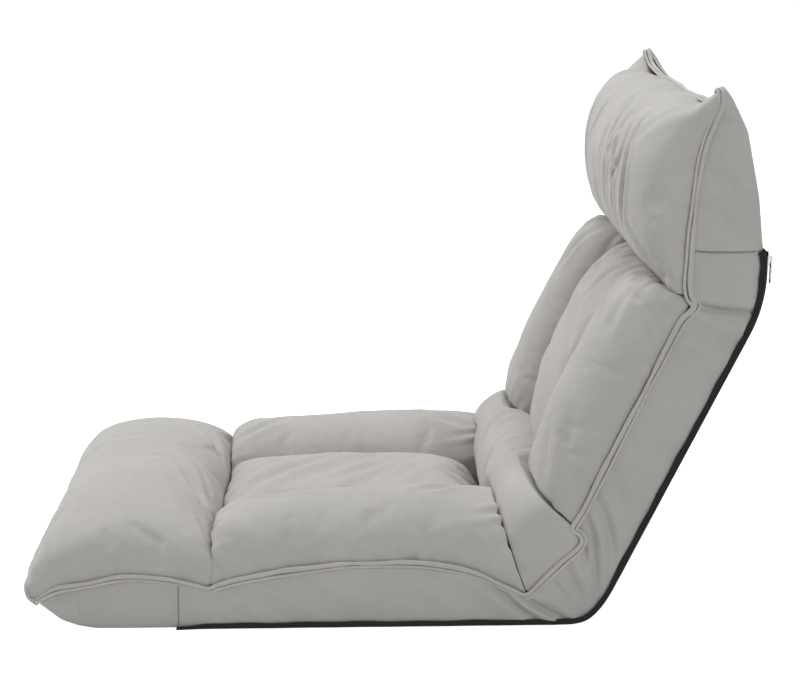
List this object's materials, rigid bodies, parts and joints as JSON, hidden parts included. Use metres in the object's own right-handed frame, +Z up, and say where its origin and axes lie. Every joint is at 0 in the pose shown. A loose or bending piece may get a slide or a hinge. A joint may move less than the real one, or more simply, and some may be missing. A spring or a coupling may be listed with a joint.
{
  "type": "folding floor chair",
  "caption": "Legless padded floor chair with a reclining back and a tilting headrest on hidden ratchet hinges, covered in soft grey fabric with a black zipped underside.",
  "frame": {"origin": "on the floor under the middle of the seat's flat black base, at the centre of the width, 400 mm behind the front tip", "axes": "+X to the seated person's left, +Y towards the back of the chair, +Z up; the chair's front faces -Y"},
  "size_m": [0.543, 1.0101, 0.7413],
  "materials": {
    "grey_suede": "soft brushed pile",
    "grey_suede_seam": "folded and stitched",
    "black_cloth": "matt non-woven",
    "black_zip": "moulded coil on woven tape",
    "foam": "open cell",
    "webbing": "woven elastic",
    "black_steel_tube": "satin powder coat",
    "zinc_steel": "zinc plated",
    "zip_metal": "polished"
  },
  "bodies": {
    "seat": {"front_roll": "grey_suede", "hip_bend_cloth": "black_cloth", "hip_gussets": "grey_suede", "hip_housing_left": "zinc_steel", "hip_housing_right": "zinc_steel", "hip_leaf_springs": "zinc_steel", "hip_pawl_pins": "zinc_steel", "hip_piping": "grey_suede_seam", "hip_rivets": "zinc_steel", "lumbar_roll": "grey_suede", "seat_base_cloth": "black_cloth", "seat_boxing": "grey_suede", "seat_centre_pad": "grey_suede", "seat_cross_front": "black_steel_tube", "seat_cross_rear": "black_steel_tube", "seat_foam": "foam", "seat_piping": "grey_suede_seam", "seat_roll_left": "grey_suede", "seat_roll_right": "grey_suede", "seat_straps": "webbing", "seat_tube": "black_steel_tube"},
    "back": {"hip_wheel_left": "zinc_steel", "hip_wheel_right": "zinc_steel", "back_tube_left": "black_steel_tube", "back_tube_right": "black_steel_tube", "back_cross_low": "black_steel_tube", "back_cross_high": "black_steel_tube", "back_straps": "webbing", "back_foam": "foam", "back_roll_left": "grey_suede", "back_roll_right": "grey_suede", "back_centre_pad": "grey_suede", "back_boxing": "grey_suede", "back_cloth": "black_cloth", "back_piping": "grey_suede_seam", "back_zip": "black_zip", "neck_housing_left": "zinc_steel", "neck_housing_right": "zinc_steel", "neck_rivets": "zinc_steel", "neck_pawl_pins": "zinc_steel", "neck_leaf_springs": "zinc_steel", "neck_gussets": "grey_suede", "neck_piping": "grey_suede_seam", "neck_fold": "grey_suede"},
    "head": {"neck_wheel_left": "zinc_steel", "neck_wheel_right": "zinc_steel", "head_tube": "black_steel_tube", "head_foam": "foam", "head_hood": "grey_suede", "head_pillow": "grey_suede", "head_piping": "grey_suede_seam", "neck_bend_cloth": "black_cloth", "neck_zip": "black_zip"},
    "hip_pawl_left": {"hip_pawl_left": "zinc_steel"},
    "hip_pawl_right": {"hip_pawl_right": "zinc_steel"},
    "neck_pawl_left": {"neck_pawl_left": "zinc_steel"},
    "neck_pawl_right": {"neck_pawl_right": "zinc_steel"},
    "zip_slider": {"zip_slider": "zip_metal"},
    "zip_pull": {"zip_pull": "zip_metal"}
  },
  "joints": [
    {"name": "back_recline", "type": "hinge", "parent": "seat", "child": "back", "pos_m": [0, 0.371, 0.028], "axis": [1, 0, 0], "range_deg": [-65, 26], "deforming": ["lumbar_roll", "hip_gussets", "hip_bend_cloth", "hip_piping"]},
    {"name": "head_tilt", "type": "hinge", "parent": "back", "child": "head", "pos_m": [0, 0.57288, 0.46094], "axis": [1, 0, 0], "range_deg": [-32.5, 19.5], "deforming": ["neck_fold", "neck_gussets", "neck_bend_cloth", "neck_piping", "neck_zip"]},
    {"name": "hip_pawl_left_drop", "type": "hinge", "parent": "seat", "child": "hip_pawl_left", "pos_m": [0.235, 0.35057, 0.02652], "axis": [1, 0, 0], "range_deg": [-5.5, 0], "stiffness_Nm_per_rad": 0.02, "springref_deg": -17.19},
    {"name": "hip_pawl_right_drop", "type": "hinge", "parent": "seat", "child": "hip_pawl_right", "pos_m": [-0.235, 0.35057, 0.02652], "axis": [1, 0, 0], "range_deg": [-5.5, 0], "stiffness_Nm_per_rad": 0.02, "springref_deg": -17.19},
    {"name": "neck_pawl_left_drop", "type": "hinge", "parent": "back", "child": "neck_pawl_left", "pos_m": [0.235, 0.56559, 0.44179], "axis": [1, 0, 0], "range_deg": [-5.5, 0], "stiffness_Nm_per_rad": 0.02, "springref_deg": -17.19},
    {"name": "neck_pawl_right_drop", "type": "hinge", "parent": "back", "child": "neck_pawl_right", "pos_m": [-0.235, 0.56559, 0.44179], "axis": [1, 0, 0], "range_deg": [-5.5, 0], "stiffness_Nm_per_rad": 0.02, "springref_deg": -17.19},
    {"name": "zip_slide", "type": "slide", "parent": "head", "child": "zip_slider", "axis": [0, 0, -1], "range_m": [0, 0.028]},
    {"name": "zip_pull_swing", "type": "hinge", "parent": "zip_slider", "child": "zip_pull", "pos_m": [0.261, 0.60788, 0.521], "axis": [1, 0, 0], "range_deg": [-4, 150]}
  ]
}
